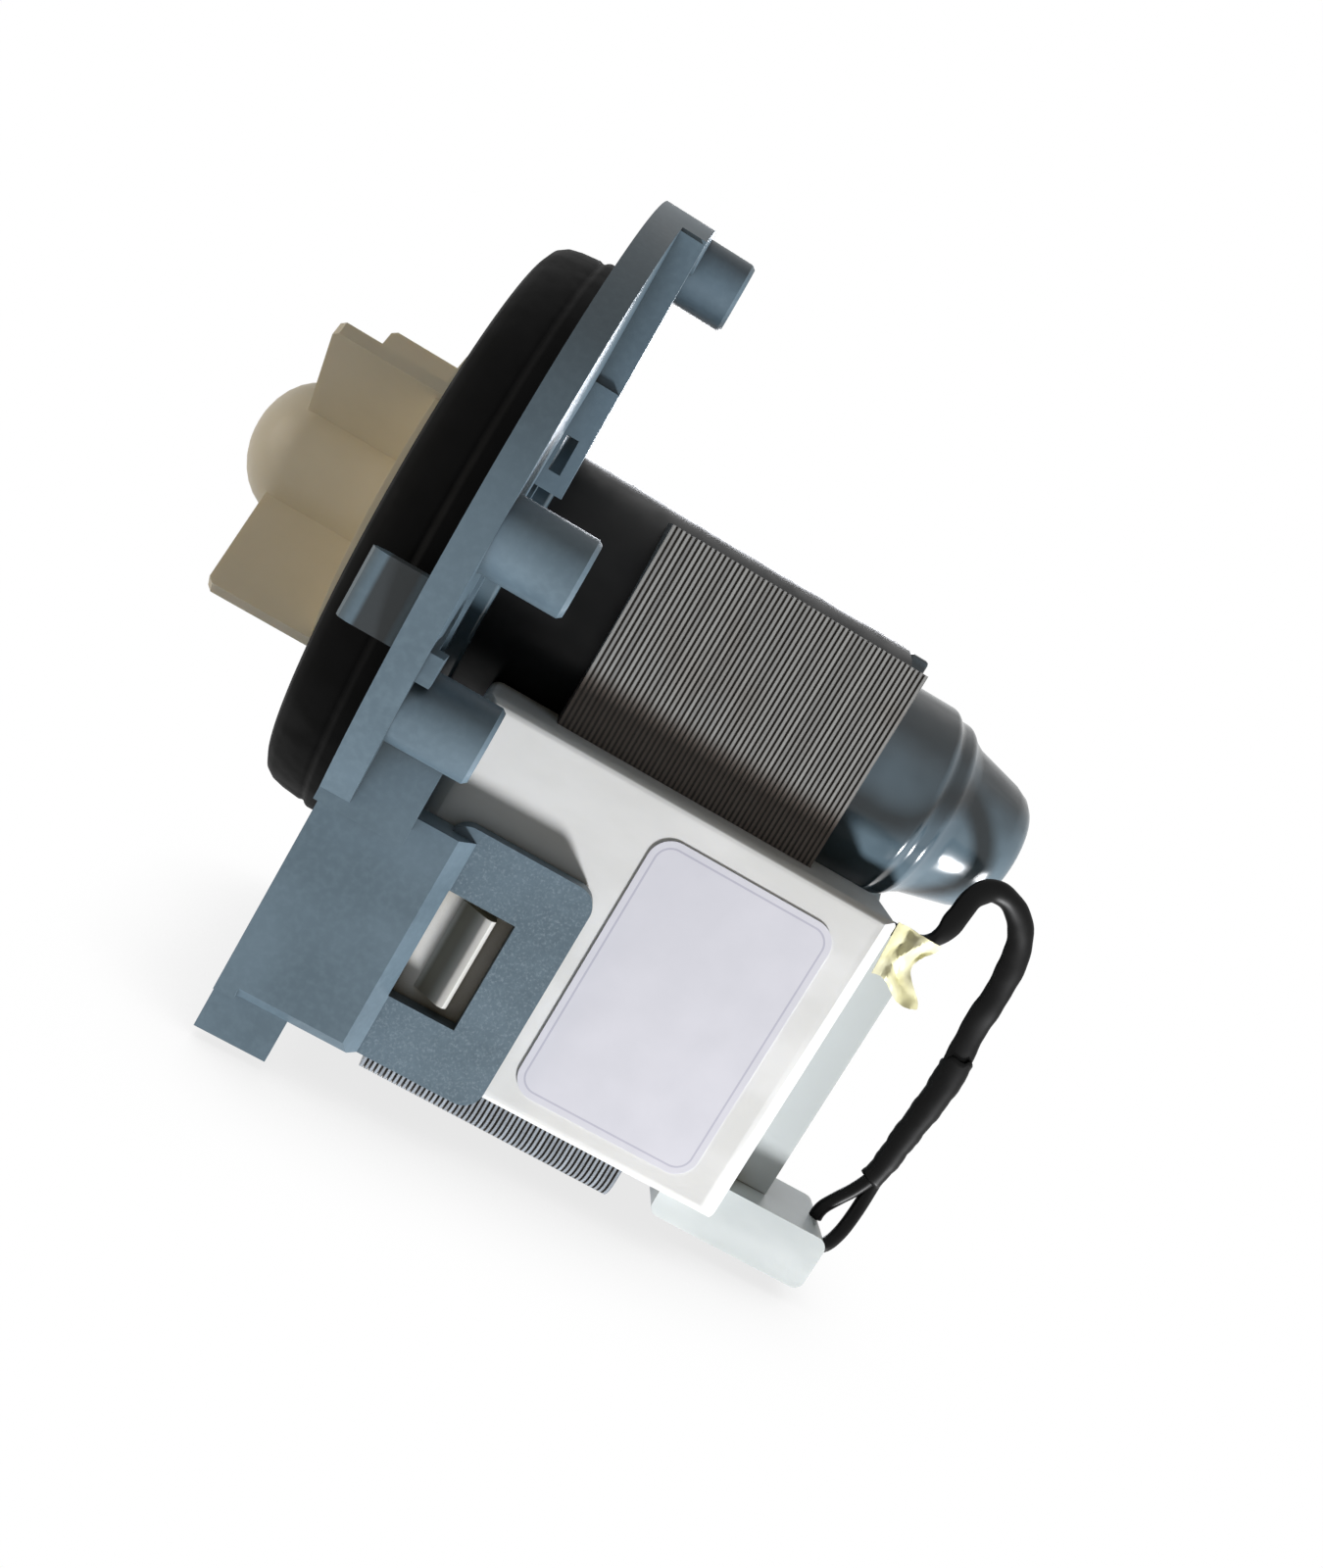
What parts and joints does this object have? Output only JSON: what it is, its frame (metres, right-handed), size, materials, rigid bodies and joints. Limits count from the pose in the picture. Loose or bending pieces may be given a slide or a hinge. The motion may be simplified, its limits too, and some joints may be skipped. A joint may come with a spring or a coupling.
{
  "type": "washer drain pump",
  "caption": "Drain pump with a vaned impeller, a round screw flange with a rubber gasket, and a synchronous motor with a laminated core and a clipped coil case.",
  "frame": {"origin": "on the shaft axis, in the front face of the mounting flange's rim", "axes": "+X along the shaft, away from the impeller; +Z from the core's yoke towards the rotor; +Y completes the frame"},
  "size_m": [0.1186, 0.097, 0.1095],
  "materials": {
    "flange_plastic": "moulded polypropylene, fine matt skin",
    "well_plastic": "moulded polypropylene, glossy from a polished tool",
    "case_plastic": "moulded polyester, satin",
    "connector_plastic": "moulded polyamide, satin",
    "bobbin_plastic": "moulded polyamide",
    "gasket_rubber": "moulded rubber, dull",
    "sleeve_rubber": "smooth black rubber",
    "mount_rubber": "moulded rubber, dull",
    "core_steel": "punched electrical sheet, bare edges",
    "shaft_steel": "ground stainless steel",
    "magnet_ferrite": "sintered ferrite",
    "winding_copper": "enamelled copper wire",
    "bush_bronze": "sintered bronze, oil filled",
    "blade_brass": "tinned brass strip",
    "impeller_plastic": "moulded polyamide, natural colour",
    "label_film": "bare self-adhesive film",
    "tape_film": "polyester insulation tape",
    "lead_sleeve": "soft black sleeve",
    "cutout_case": "moulded phenolic"
  },
  "bodies": {
    "housing": {"front_flange": "flange_plastic", "flange_drum": "flange_plastic", "near_latch_arm": "flange_plastic", "far_latch_arm": "flange_plastic", "gasket": "gasket_rubber", "rotor_well": "well_plastic", "well_sleeve": "sleeve_rubber", "o_ring": "mount_rubber", "shaft_seal": "mount_rubber", "front_bearing_holder": "bobbin_plastic", "front_bearing_mount": "mount_rubber", "front_bush": "bush_bronze", "rear_bearing_mount": "mount_rubber", "rear_bush": "bush_bronze", "stator_core": "core_steel", "coil_cover": "case_plastic", "label": "label_film", "near_bobbin": "bobbin_plastic", "far_bobbin": "bobbin_plastic", "near_winding": "winding_copper", "far_winding": "winding_copper", "thermal_cutout": "cutout_case", "coil_pins": "blade_brass", "insulation_tape": "tape_film", "connector_housing": "connector_plastic", "connector_blades": "blade_brass", "lead": "lead_sleeve"},
    "rotor": {"shaft": "shaft_steel", "magnet": "magnet_ferrite", "magnet_carrier": "bobbin_plastic", "thrust_washers": "bobbin_plastic", "drive_dog": "bobbin_plastic"},
    "impeller": {"impeller": "impeller_plastic", "impeller_cap": "impeller_plastic"}
  },
  "joints": [
    {"name": "rotor_spin", "type": "hinge", "parent": "housing", "child": "rotor", "pos_m": [0, 0, 0], "axis": [1, 0, 0], "continuous": true},
    {"name": "impeller_play", "type": "hinge", "parent": "rotor", "child": "impeller", "pos_m": [0, 0, 0], "axis": [1, 0, 0], "range_deg": [-88, 88]}
  ]
}
